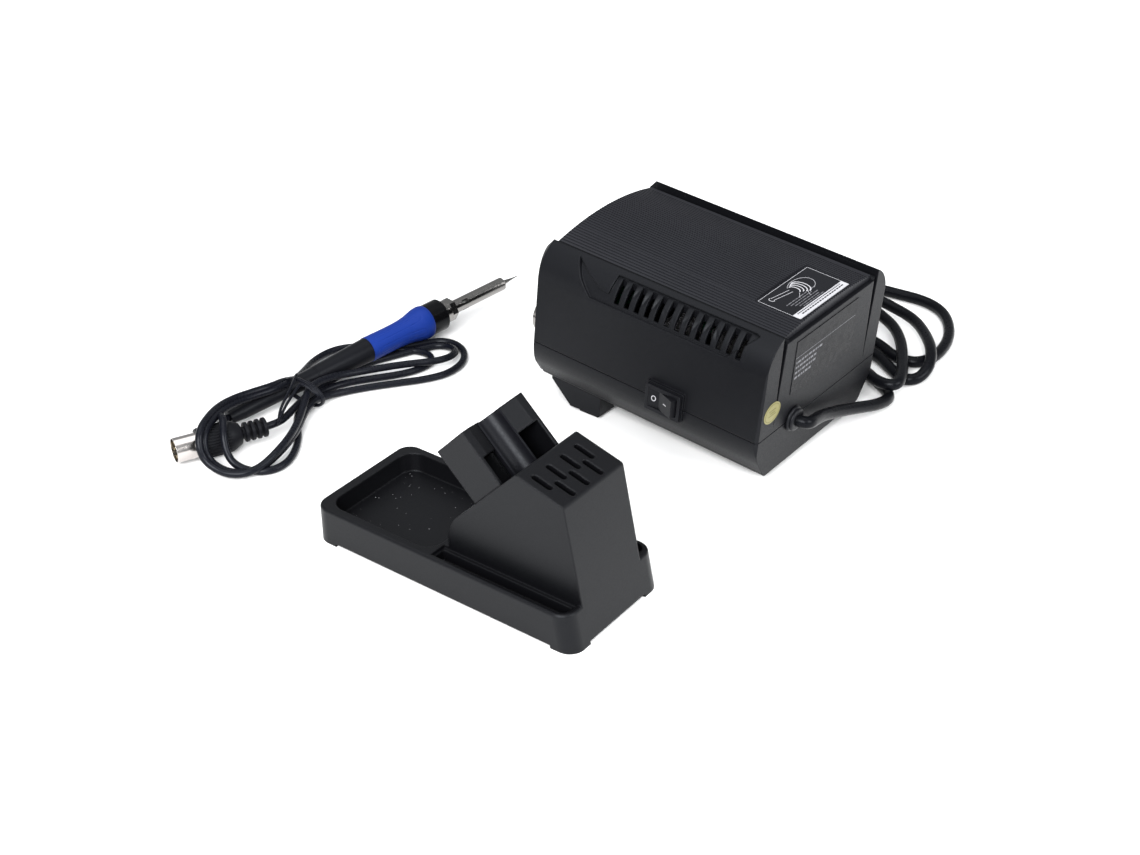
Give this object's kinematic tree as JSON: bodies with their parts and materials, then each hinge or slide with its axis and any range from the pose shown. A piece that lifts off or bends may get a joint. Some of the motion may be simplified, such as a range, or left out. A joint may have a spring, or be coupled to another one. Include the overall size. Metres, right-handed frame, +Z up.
{
  "type": "soldering station",
  "caption": "Bench soldering station with a mains lead, a plug-in soldering iron on a tied flexible lead, and a separate iron stand with a sponge tray and spare tip slots.",
  "frame": {"origin": "on the bench, under the middle of the footprint of the station, iron and stand without their loose cords", "axes": "+Z up; the station's front faces -Y and its mains lead leaves the back, towards +Y; +X runs from the station to the stand"},
  "size_m": [0.3927, 0.294, 0.0992],
  "materials": {
    "case_plastic": "fine textured matt",
    "label": "satin film with white print",
    "sticker": "satin film",
    "black_rubber": "matt",
    "mains_cable": "satin",
    "lead_cable": "satin",
    "tie": "matt",
    "steel": "satin",
    "nickel": "satin",
    "window": "clear smoked",
    "electronics_black": "matt",
    "circuit_board": "satin",
    "heat_sink": "satin",
    "core_iron": "matt",
    "copper": "bright",
    "led": "clear",
    "button": "satin",
    "switch_black": "satin",
    "mains_plug": "satin",
    "blue_grip": "satin",
    "handle_plastic": "satin"
  },
  "bodies": {
    "station": {"case_screws": "steel", "cord_grommet": "black_rubber", "display_module": "electronics_black", "display_window": "window", "front_panel": "case_plastic", "front_pcb": "circuit_board", "heat_sink": "heat_sink", "leg_pads": "black_rubber", "lower_shell": "case_plastic", "main_pcb": "circuit_board", "mains_coil": "mains_cable", "mains_lead": "mains_cable", "mains_plug": "mains_plug", "mains_plug_pins": "copper", "mains_tail": "mains_cable", "pcb_components": "electronics_black", "qc_sticker": "sticker", "rating_plate": "label", "rear_feet": "black_rubber", "rocker_housing": "switch_black", "socket_insert": "electronics_black", "socket_nut": "nickel", "socket_shell": "nickel", "status_led": "led", "switch_terminals": "copper", "top_label": "label", "top_panel": "case_plastic", "transformer_core": "core_iron", "transformer_strap": "steel", "transformer_winding": "copper", "upper_cover": "case_plastic"},
    "paddle": {"rocker_paddle": "switch_black"},
    "button_down": {"button_down": "button"},
    "button_up": {"button_up": "button"},
    "button_set": {"button_set": "button"},
    "stand": {"stand_base": "case_plastic", "iron_holder": "case_plastic", "holder_guide": "case_plastic", "stand_feet": "black_rubber"},
    "iron": {"handle_body": "handle_plastic", "grip_sleeve": "blue_grip", "front_collar": "handle_plastic", "heating_element": "steel", "tail_boot": "black_rubber", "lead_start": "lead_cable", "lead_hank": "lead_cable", "lead_end": "lead_cable", "twist_tie": "tie", "plug_body": "black_rubber", "plug_shell": "nickel", "plug_core": "electronics_black", "plug_pins": "copper"},
    "barrel": {"barrel_nut": "nickel", "barrel_tube": "nickel", "solder_tip": "nickel"}
  },
  "joints": [
    {"name": "rocker_tilt", "type": "hinge", "parent": "station", "child": "paddle", "pos_m": [-0.0208, 0.07029, 0.03556], "axis": [0, 0.0753, 0.9972], "range_deg": [0, 20]},
    {"name": "button_down_press", "type": "slide", "parent": "station", "child": "button_down", "axis": [0, 0.9972, -0.0753], "range_m": [0, 0.0012], "stiffness_N_per_m": 400, "springref_m": -0.001},
    {"name": "button_up_press", "type": "slide", "parent": "station", "child": "button_up", "axis": [0, 0.9972, -0.0753], "range_m": [0, 0.0012], "stiffness_N_per_m": 400, "springref_m": -0.001},
    {"name": "button_set_press", "type": "slide", "parent": "station", "child": "button_set", "axis": [0, 0.9972, -0.0753], "range_m": [0, 0.0012], "stiffness_N_per_m": 400, "springref_m": -0.001},
    {"name": "stand_lift", "type": "slide", "parent": "station", "child": "stand", "axis": [0, 0, 1], "range_m": [0, 0.15]},
    {"name": "iron_lift", "type": "slide", "parent": "station", "child": "iron", "axis": [0, 0, 1], "range_m": [0, 0.15]},
    {"name": "barrel_slide", "type": "slide", "parent": "iron", "child": "barrel", "axis": [-0.9893, 0.1395, 0.043], "range_m": [0, 0.045]}
  ]
}
